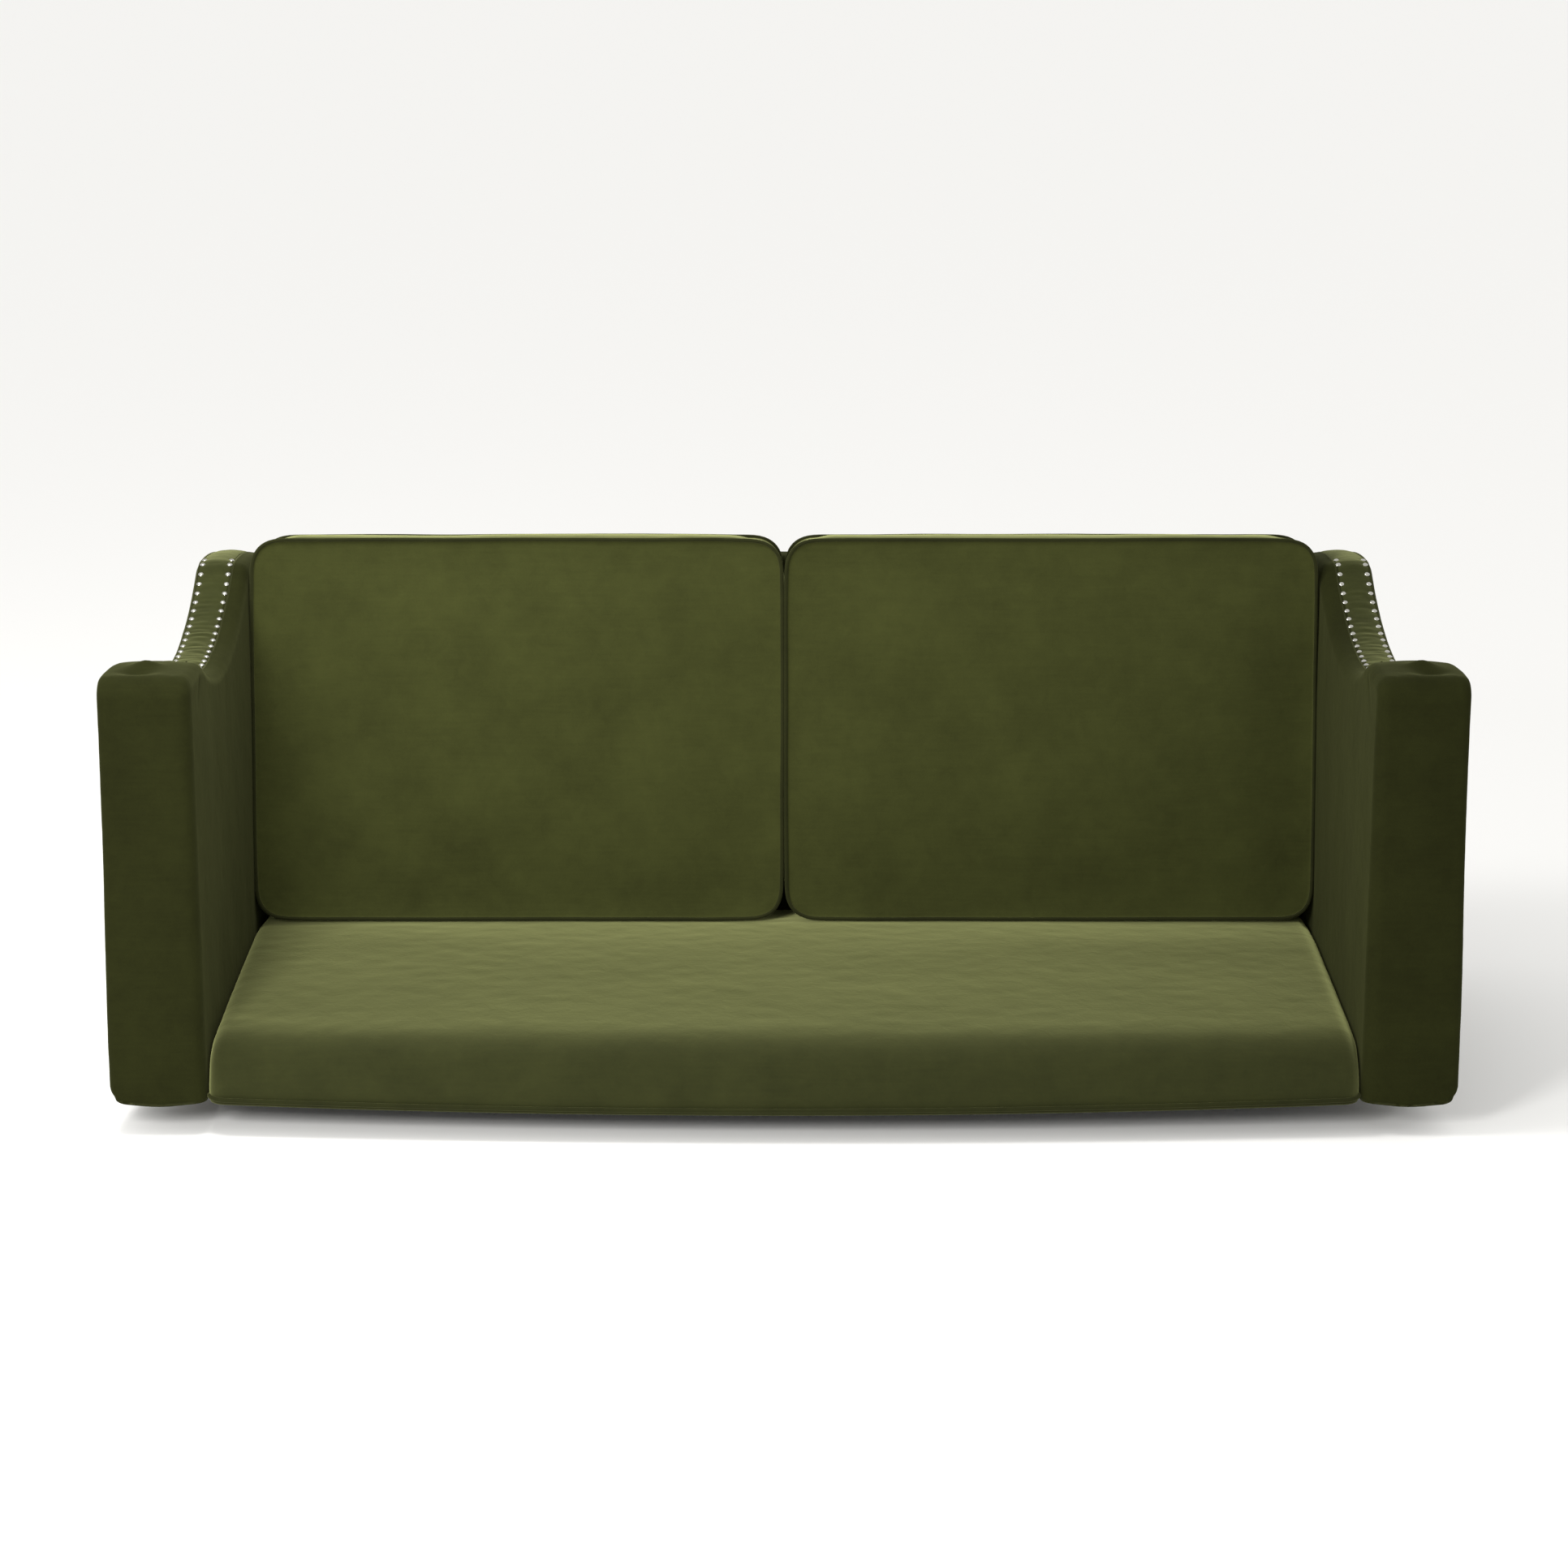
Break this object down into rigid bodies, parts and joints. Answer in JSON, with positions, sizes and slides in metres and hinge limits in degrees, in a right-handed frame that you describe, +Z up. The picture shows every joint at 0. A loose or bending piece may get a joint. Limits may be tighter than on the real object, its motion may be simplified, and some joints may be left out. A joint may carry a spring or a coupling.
{
  "type": "three-seat sofa",
  "caption": "Velvet sofa with nail-trimmed hollow-swept arms, a bowed sprung bench seat and loose piped box back cushions on short feet.",
  "frame": {"origin": "on the floor, below the middle of the sofa's width and depth", "axes": "+Z up, the sofa faces -Y, +X along its width; left means the -X side"},
  "size_m": [2.118, 0.9651, 0.8379],
  "materials": {
    "velvet": "olive green cotton velvet, short pile",
    "nickel": "polished nickel-plated domed heads",
    "foam": "polyurethane foam and polyester wadding",
    "plywood": "sanded plywood",
    "hardwood": "kiln-dried hardwood, planed",
    "dark_wood": "dark stained hardwood, satin",
    "felt": "pressed felt glide",
    "steel": "zinc-plated steel",
    "zip_metal": "antique brass slider",
    "zip_teeth": "moulded zip teeth on tape",
    "cambric": "black non-woven dust cover",
    "burlap": "spring insulator, burlap",
    "webbing": "elastic jute webbing"
  },
  "bodies": {
    "sofa_frame": {"back_cover": "velvet", "back_padding": "foam", "back_sill": "hardwood", "back_top_rail": "hardwood", "back_uprights": "hardwood", "back_webbing": "webbing", "dust_cover": "cambric", "feet": "dark_wood", "foot_boards": "hardwood", "foot_glides": "felt", "foot_hanger_bolts": "steel", "front_rail": "hardwood", "left_arm_band": "velvet", "left_arm_bolts": "steel", "left_arm_bottom_rail": "hardwood", "left_arm_cover": "velvet", "left_arm_flare_block": "hardwood", "left_arm_inner_side": "plywood", "left_arm_nailheads": "nickel", "left_arm_outer_side": "plywood", "left_arm_outside_panel": "velvet", "left_arm_padding": "foam", "left_arm_posts": "hardwood", "left_arm_top_block": "hardwood", "left_side_rail": "hardwood", "middle_rail": "hardwood", "outside_back_panel": "velvet", "rear_rail": "hardwood", "right_arm_band": "velvet", "right_arm_bolts": "steel", "right_arm_bottom_rail": "hardwood", "right_arm_cover": "velvet", "right_arm_flare_block": "hardwood", "right_arm_inner_side": "plywood", "right_arm_nailheads": "nickel", "right_arm_outer_side": "plywood", "right_arm_outside_panel": "velvet", "right_arm_padding": "foam", "right_arm_posts": "hardwood", "right_arm_top_block": "hardwood", "right_side_rail": "hardwood", "seat_cover": "velvet", "seat_foam": "foam", "seat_front_welt": "velvet", "seat_insulator": "burlap", "seat_springs": "steel", "spring_clips": "steel"},
    "left_back_cushion": {"left_cushion_cover": "velvet", "left_cushion_front_welt": "velvet", "left_cushion_insert": "foam", "left_cushion_rear_welt": "velvet", "left_cushion_zip": "zip_teeth"},
    "right_back_cushion": {"right_cushion_cover": "velvet", "right_cushion_front_welt": "velvet", "right_cushion_insert": "foam", "right_cushion_rear_welt": "velvet", "right_cushion_zip": "zip_teeth"},
    "left_zip_slider": {"left_zip_slider": "zip_metal"},
    "right_zip_slider": {"right_zip_slider": "zip_metal"}
  },
  "joints": [
    {"name": "left_cushion_lift", "type": "slide", "parent": "sofa_frame", "child": "left_back_cushion", "axis": [0, 0, 1], "range_m": [0, 0.66]},
    {"name": "left_zip_run", "type": "slide", "parent": "left_back_cushion", "child": "left_zip_slider", "axis": [1, 0, 0], "range_m": [0, 0.73]},
    {"name": "right_cushion_lift", "type": "slide", "parent": "sofa_frame", "child": "right_back_cushion", "axis": [0, 0, 1], "range_m": [0, 0.66]},
    {"name": "right_zip_run", "type": "slide", "parent": "right_back_cushion", "child": "right_zip_slider", "axis": [1, 0, 0], "range_m": [0, 0.73]}
  ]
}
